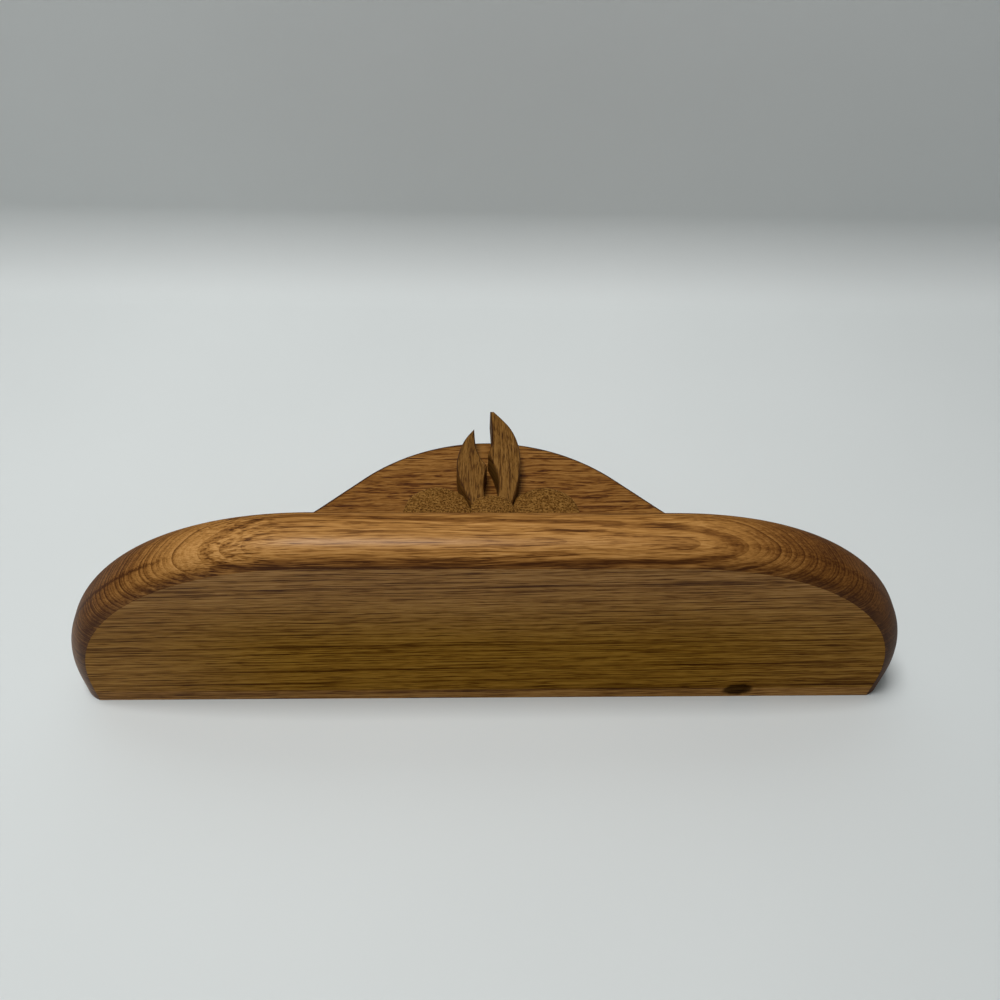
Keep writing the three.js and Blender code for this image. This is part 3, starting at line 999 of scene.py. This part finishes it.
def recess_cutters(x):
    recess = prism("recess", plate_outline(plate_room), seat_y, past)
    pocket_bar = upright_bar(pocket_radius, hole_z, pocket_top)
    pocket = prism("pocket", pocket_bar, seat_y - pocket_depth, past)
    return [moved(recess, x=x), moved(pocket, x=x)] + [screw_drill(x, z) for z in screw_zs]


back_cutters = dowel_drills(to_z=back_high.z + past)
for x in plate_xs:
    back_cutters += recess_cutters(x)
cut_away(back_board, back_cutters)
finish_piece(back_board, back_oak, ["back_board"])

# %% [markdown]
# ## The bow
#
# The ribbon bow is five pieces of oak glued to the back board: two tails sawn
# from flat stock, and two loops and a knot sanded to soft domes. Their outlines
# are free curves through a few points, given as shares of each piece's size.

# %% Curves through points
tiny = 1e-9


def bend(p0, p1, p2, p3, t, even=True):
    """A point on the curve between p1 and p2, at a share t of the way. Where the
    points aren't evenly spaced, the gaps between them count too."""
    if even:
        a, b = (p2 - p0) * 0.5, (p3 - p1) * 0.5
    else:
        pairs = ((p0, p1), (p1, p2), (p2, p3))
        g0, g1, g2 = [max((q - p).length ** 0.5, tiny) for p, q in pairs]
        a = ((p1 - p0) / g0 - (p2 - p0) / (g0 + g1) + (p2 - p1) / g1) * g1
        b = ((p2 - p1) / g1 - (p3 - p1) / (g1 + g2) + (p3 - p2) / g2) * g1
    square, cube = t * t, t * t * t
    return (2 * p1 - 2 * p2 + a + b) * cube + (3 * p2 - 3 * p1 - 2 * a - b) * square + a * t + p1


def open_curve(points, steps=10):
    padded = [points[0], *points, points[-1]]
    run = []
    for i in range(len(points) - 1):
        run += [bend(*padded[i:i + 4], s / steps) for s in range(steps)]
    return run + [points[-1]]


def closed_curve(points, steps=30):
    count = len(points)
    run = []
    for i in range(count):
        near = [points[(i + k) % count] for k in (-1, 0, 1, 2)]
        run += [bend(*near, s / steps, even=False) for s in range(steps)]
    return run


def evenly(points, count):
    """The same closed outline with its points evenly spaced."""
    ends = points[1:] + points[:1]
    lengths = [(q - p).length for p, q in zip(points, ends)]
    total, spaced, at, walked = sum(lengths), [], 0, 0.0
    for i in range(count):
        goal = total * i / count
        while walked + lengths[at] < goal:
            walked += lengths[at]
            at += 1
        spaced.append(points[at].lerp(ends[at], (goal - walked) / lengths[at]))
    return spaced


# %% Outlines of the bow
knot_low, knot_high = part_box("bow_knot")
bow_x = (knot_low.x + knot_high.x) / 2
bow_z = (knot_low.z + knot_high.z) / 2
wood_y = back_low.y


def at_bow(shares, width, height, start_x=0.0):
    return [Vector((start_x + x * width, bow_z + z * height)) for x, z in shares]


def knot_outline(grow=0.0, fullness=2.2, count=120):
    half_x = (knot_high.x - knot_low.x) / 2 + grow
    half_z = (knot_high.z - knot_low.z) / 2 + grow
    outline = []
    for i in range(count):
        angle = 2 * math.pi * i / count
        c, s = math.cos(angle), math.sin(angle)
        x = math.copysign(abs(c) ** (2 / fullness), c) * half_x
        z = math.copysign(abs(s) ** (2 / fullness), s) * half_z
        outline.append(Vector((x, bow_z + z)))
    return outline


loop_shares = [
    (0, -0.14), (0.19, -0.41), (0.54, -0.54), (0.88, -0.37),
    (1, 0), (0.84, 0.34), (0.52, 0.46), (0.15, 0.27),
]
loop_start, loop_reach, loop_height = 6.5 * MM, 32.6 * MM, 25.6 * MM
loop_points = at_bow(loop_shares, loop_reach - loop_start, loop_height, loop_start)
loop_outline = evenly(closed_curve(loop_points), 200)
print("loop width, mm:", round((max(p.x for p in loop_outline) - loop_start) / MM, 1))

# %% Outlines of the tails
long_tail = {
    "down": [
        (-0.53, 0), (-0.75, -0.14), (-0.94, -0.33), (-1, -0.49),
        (-0.95, -0.66), (-0.7, -0.83), (-0.17, -1),
    ],
    "cut": [(-0.04, -1), (-0.07, -0.79), (-0.04, -0.64)],
    "up": [(0.07, -0.55), (-0.1, -0.44), (-0.23, -0.31), (-0.22, -0.19), (-0.11, 0)],
}
short_tail = {
    "down": [(0.13, 0), (0.21, -0.23), (0.19, -0.38), (0.1, -0.53)],
    "cut": [(0.29, -0.63), (0.41, -0.75), (0.44, -0.86)],
    "up": [(0.46, -1), (0.74, -0.86), (0.93, -0.68), (0.98, -0.5), (0.86, -0.31), (0.48, 0)],
}


def tail_outline(tail, spread, length):
    run = open_curve(at_bow(tail["down"], spread, length))
    run += at_bow(tail["cut"], spread, length)
    return run + open_curve(at_bow(tail["up"], spread, length))


long_spread, long_length = 11.4 * MM, 50.9 * MM
short_spread, short_length = 13.1 * MM, 41.4 * MM
long_outline = tail_outline(long_tail, long_spread, long_length)
short_outline = tail_outline(short_tail, short_spread, short_length)


def grown_outline(outline, amount):
    """Moves a closed outline outwards, or inwards with a negative amount."""
    ends = outline[1:] + outline[:1]
    area = sum(p.x * q.y - q.x * p.y for p, q in zip(outline, ends))
    sign = math.copysign(1, area)
    moved_points = []
    for i, p in enumerate(outline):
        before, after = outline[i - 1], outline[(i + 1) % len(outline)]
        first = Vector((p.y - before.y, before.x - p.x)).normalized() * sign
        second = Vector((after.y - p.y, p.x - after.x)).normalized() * sign
        mean = first + second
        moved_points.append(p + mean * (amount * 2 / mean.length_squared))
    return unfolded(outline, moved_points)


def unfolded(outline, moved_points, reach=4, sharp=0.5):
    """Draws points that a sharp corner has overtaken back onto that corner."""
    count = len(outline)
    kept = list(moved_points)
    for i in range(count):
        before = outline[i] - outline[i - 1]
        after = outline[(i + 1) % count] - outline[i]
        if min(before.length, after.length) < tiny or before.angle(after) < sharp:
            continue
        for step in [k for k in range(-reach, reach + 1) if k]:
            j = (i + step) % count
            if (moved_points[j] - moved_points[i]).dot(outline[j] - outline[i]) < 0:
                kept[j] = moved_points[i]
    return kept


# %% Shape the knot and the loops
knot_edge, knot_crown = 10.2 * MM, 1.8 * MM
loop_edge, loop_crown = 6 * MM, 2 * MM
bow_gap = 0.3 * MM
cutter_reach = 25 * MM


def domed(name, outline, edge_height, crown, flat_share=0.03, steps=28):
    """A block whose front is a dome with a small flat in its middle."""
    middle = sum(outline, Vector((0, 0))) / len(outline)
    start = math.asin(flat_share)
    rings = []
    for i in range(steps + 1):
        angle = start + (math.pi / 2 - start) * i / steps
        y = wood_y - edge_height - crown * math.cos(angle)
        rings.append(ring_at(y, [middle.lerp(p, math.sin(angle)) for p in outline]))
    return loft(name, rings + [ring_at(wood_y, outline)])


def space_of(outline):
    return prism("space", outline, wood_y - cutter_reach, wood_y + past)


def knot_space():
    return space_of(knot_outline(bow_gap))


bow_knot = moved(domed("bow_knot_oak", knot_outline(), knot_edge, knot_crown), x=bow_x)
finish_piece(bow_knot, bow_oak, ["bow_knot"])
for side, hand in (("left", -1), ("right", 1)):
    mirrored = [Vector((hand * p.x, p.y)) for p in loop_outline]
    loop = domed(f"bow_loop_{side}_oak", mirrored, loop_edge, loop_crown)
    tails = [space_of(grown_outline(o, bow_gap)) for o in (long_outline, short_outline)]
    moved(cut_away(loop, [knot_space(), *tails]), x=bow_x)
    finish_piece(loop, bow_oak, [f"bow_loop_{side}"])


# %% Shape the tails
tail_thickness, tail_ease = 9.5 * MM, 0.7 * MM


def eased_tail(name, outline):
    front_y = wood_y - tail_thickness
    rings = []
    for inwards, back in eased_section(tail_ease, steps=5):
        rings.append(ring_at(front_y + back, grown_outline(outline, -inwards)))
    return loft(name, rings + [ring_at(wood_y, outline)])


for side, outline in (("left", long_outline), ("right", short_outline)):
    tail = eased_tail(f"bow_tail_{side}_oak", outline)
    moved(cut_away(tail, [knot_space()]), x=bow_x)
    finish_piece(tail, tail_oak, [f"bow_tail_{side}"])

# %% [markdown]
# ## Keyhole plates
#
# A keyhole plate is a stamped strip of plated steel. Stamping leaves a slightly
# rounded rim, so the strip is lofted with an eased edge before the keyhole and
# the countersunk holes are cut.

# %% Stamp the plates
plate_rim = 0.25 * MM
for name, x in zip(plate_names, plate_xs):
    bar = plate_outline()
    rings = [ring_at(seat_y, bar)]
    for inwards, back in reversed(eased_section(plate_rim, steps=4)):
        rings.append(ring_at(face_y - back, grown_outline(bar, -inwards)))
    plate = moved(loft(f"{name}_steel", rings), x=x)
    keyhole = moved(prism("keyhole", keyhole_outline(), seat_y - past, face_y + past), x=x)
    cut_away(plate, [keyhole] + [screw_drill(x, z) for z in screw_zs])
    finish_piece(plate, plate_steel, [name])

# %% [markdown]
# ## The plates' screws
#
# Four equal countersunk screws are a job for instances. The tree turns one
# profile into a screw, cuts the cross recess into its head, and puts a copy at
# each corner of a two by two grid whose spacings are inputs.

# %% A turned profile in Geometry Nodes
screw_sizes = {
    "Spacing Across": plate_xs[1] - plate_xs[0],
    "Spacing Up": screw_zs[0] - screw_zs[1],
    "Middle Height": sum(screw_zs) / 2,
    "Face": face_y,
    "Length": screw_length,
    "Shank Radius": screw_radius,
    "Head Radius": head_radius,
    "Head Height": head_height,
    "Rim": 0.08 * MM,
    "Point": 3 * MM,
    "Cross Span": 3 * MM,
    "Cross Width": 0.7 * MM,
    "Cross Depth": 1 * MM,
    "Steel": screw_steel,
}


def pick(tree, row, values):
    """The value whose place in the list is the row's number."""
    switch = tree.tree.nodes.new("GeometryNodeIndexSwitch")
    switch.data_type = "FLOAT"
    while len(switch.index_switch_items) < len(values):
        switch.index_switch_items.new()
    tree.tree.links.new(row.socket, switch.inputs[0])
    for socket, value in zip(switch.inputs[1:], values):
        if isinstance(value, Maths):
            tree.tree.links.new(value.socket, socket)
        else:
            socket.default_value = value
    return Maths(tree, switch.outputs[0])


def turned_screw(tree, get, sides=32):
    """A screw along Y: a grid whose columns go round it and whose rows follow
    its profile."""
    head, shank, rim = get["Head Radius"], get["Shank Radius"], get["Rim"]
    radii = [0.0, head - rim, head, shank, shank, 0.0]
    taper = get["Length"] - get["Point"]
    depths = [0.0, 0.0, rim, get["Head Height"], taper, get["Length"]]
    x, y = tree.parts(tree.make("GeometryNodeInputPosition"))[:2]
    angle = (x + 0.5) * (2 * math.pi)
    row = ((y + 0.5) * (len(radii) - 1)).one("ROUND")
    radius, depth = pick(tree, row, radii), pick(tree, row, depths)
    place = tree.vector(radius * angle.one("COSINE"), depth * -1, radius * angle.one("SINE"))
    grid = point_grid(tree, sides + 1, len(radii))
    turned = tree.make("GeometryNodeSetPosition", None, {"Geometry": grid, "Position": place})
    return welded(tree, turned)


# %% Cut the cross and set the four screws
screw_tree, get = geometry_tree("Plate screws", screw_sizes)
screw = turned_screw(screw_tree, get)
for across, high in (("Cross Span", "Cross Width"), ("Cross Width", "Cross Span")):
    bar_size = screw_tree.vector(get[across], get["Cross Depth"] * 2, get[high])
    bar = screw_tree.make("GeometryNodeMeshCube", None, {"Size": bar_size})
    cut = {"operation": "DIFFERENCE", "solver": "EXACT"}
    screw = screw_tree.make("GeometryNodeMeshBoolean", cut, {0: screw, 1: bar})
corners = point_grid(screw_tree, 2, 2, get["Spacing Across"], get["Spacing Up"])
upright = screw_tree.make("GeometryNodeTransform", None, {
    "Geometry": corners,
    "Translation": screw_tree.vector(0.0, get["Face"], get["Middle Height"]),
    "Rotation": (math.pi / 2, 0, 0),
})
placing = {"Points": upright, "Instance": screw}
copies = screw_tree.make("GeometryNodeInstanceOnPoints", None, placing)
end_tree(screw_tree, copies, get["Steel"])
plate_screws = grown("plate_screws_steel", screw_tree, screw_sizes)
screw_nodes = []
for side in ("left", "right"):
    screw_nodes += [f"plate_screw_{side}_{end}" for end in ("upper", "lower")]
finish_piece(plate_screws, screw_steel, screw_nodes, crisp=30)

# %% [markdown]
# ## The backdrop
#
# The shelf hangs on a pale wall that curves out into a pale floor well below
# it. The wall can't be seen from behind, so that the plates can be looked at,
# and it stands a hair in front of the wood's rear faces, which are then lit
# from behind as well. An opening round the plates keeps it from cutting them.

# %% Sizes of the backdrop, in metres, and its paint
wall_y, wall_top, wall_reach = -0.3 * MM, 0.9, 1.6
cove_top, cove_radius, cove_steps = -0.172, 0.032, 24
floor_z = cove_top - cove_radius
opening_low, opening_high, opening_side = -0.020, 0.022, 0.062


def wall_material():
    """Pale paint, a little darker on the floor and clear from behind."""
    material, tree = new_material("pale_wall")
    place = tree.make("ShaderNodeTexCoord", output="Object")
    mottle = noise(tree, place, 6.0)
    stops = [(0.3, (0.665, 0.695, 0.69)), (0.7, (0.69, 0.72, 0.715))]
    colour = tree.make("ShaderNodeValToRGB", {"stops": stops}, {0: mottle})
    height = tree.parts(place)[2]
    on_floor = 1 - height.smooth(floor_z - 2 * MM, floor_z + 28 * MM)
    paint = tree.make("ShaderNodeBsdfPrincipled", None, {
        "Base Color": tinted(tree, colour, (0.87, 0.87, 0.87, 1), on_floor),
        "Roughness": 0.7 + mottle * 0.1,
        "Specular IOR Level": 0.2,
    })
    clear = tree.make("ShaderNodeBsdfTransparent")
    behind = tree.make("ShaderNodeNewGeometry", output="Backfacing")
    shown = tree.make("ShaderNodeMixShader", None, {0: behind, 1: paint, 2: clear})
    tree.make("ShaderNodeOutputMaterial", None, {"Surface": shown})
    return material


pale_wall = wall_material()
print("floor height, mm:", round(floor_z / MM))

# %% [markdown]
# The backdrop is five plain sheets: the wall above and below the opening, the
# wall on both sides of it, and the floor in front of the wall and behind it.
# The lower wall, the cove and the floor in front are one sheet, so that no seam
# shows in the picture.

# %% Wall, cove and floor
def sheet(name, corners, faces=((0, 1, 2, 3),), smooth=False):
    mesh = bpy.data.meshes.new(name)
    mesh.from_pydata(corners, [], faces)
    mesh.materials.append(pale_wall)
    if smooth:
        mesh.shade_smooth()
    new_piece(name, mesh)
    print(name, "faces:", len(faces))


def strip(name, profile):
    """A sheet that follows a profile in y and z."""
    count = len(profile)
    corners = [(x, y, z) for x in (-wall_reach, wall_reach) for y, z in profile]
    faces = [(i, i + 1, count + i + 1, count + i) for i in range(count - 1)]
    sheet(name, corners, faces, smooth=True)


cove_centre = Vector((wall_y - cove_radius, cove_top))
cove = []
for step in range(cove_steps + 1):
    angle = math.pi / 2 * step / cove_steps
    cove.append(cove_centre + cove_radius * Vector((math.cos(angle), -math.sin(angle))))
strip("wall_upper", [(wall_y, wall_top), (wall_y, opening_high)])
strip("wall_lower", [(wall_y, opening_low), *[tuple(p) for p in cove], (-wall_reach, floor_z)])
for side, near, far in (("left", -wall_reach, -opening_side), ("right", opening_side, wall_reach)):
    sheet(f"wall_{side}", [
        (near, wall_y, opening_low), (far, wall_y, opening_low),
        (far, wall_y, opening_high), (near, wall_y, opening_high),
    ])
behind_y = wall_y - cove_radius
sheet("floor_behind", [
    (-wall_reach, behind_y, floor_z), (wall_reach, behind_y, floor_z),
    (wall_reach, wall_reach, floor_z), (-wall_reach, wall_reach, floor_z),
])

# %% [markdown]
# ## Light
#
# The photographed shelf lay on its back under one soft lamp. Now that the shelf
# hangs, that lamp stands out in the room, a little to one side, and the pale
# wall and a weak sky fill the shaded faces. Two weaker lamps light the shelf's
# top and its rear.

# %% Lamps and sky
def soft_lamp(name, place, aim, size, power):
    lamp = bpy.data.lights.new(name, "AREA")
    lamp.shape = "RECTANGLE"
    lamp.size, lamp.size_y = size
    lamp.energy = power
    lamp_object = bpy.data.objects.new(name, lamp)
    direction = Vector(aim) - Vector(place)
    turn = direction.to_track_quat("-Z", "Y").to_matrix().to_4x4()
    lamp_object.matrix_world = Matrix.Translation(place) @ turn
    bpy.context.scene.collection.objects.link(lamp_object)


soft_lamp("lamp_room", (0.16, -0.95, 0.05), (0, 0, 0), (0.28, 0.22), 6.4)
soft_lamp("lamp_above", (0.25, -0.1, 0.55), (0.05, -0.04, 0.04), (0.3, 0.3), 0.12)
soft_lamp("lamp_rear", (0.1, 0.9, 0.3), (0, 0, 0), (0.6, 0.6), 3.0)
sky = bpy.data.worlds.new("pale_sky")
bpy.context.scene.world = sky
sky.use_nodes = True
background = sky.node_tree.nodes["Background"]
background.inputs["Color"].default_value = (0.98, 0.99, 1.0, 1)
background.inputs["Strength"].default_value = 0.17
bpy.context.scene.view_settings.view_transform = "Standard"
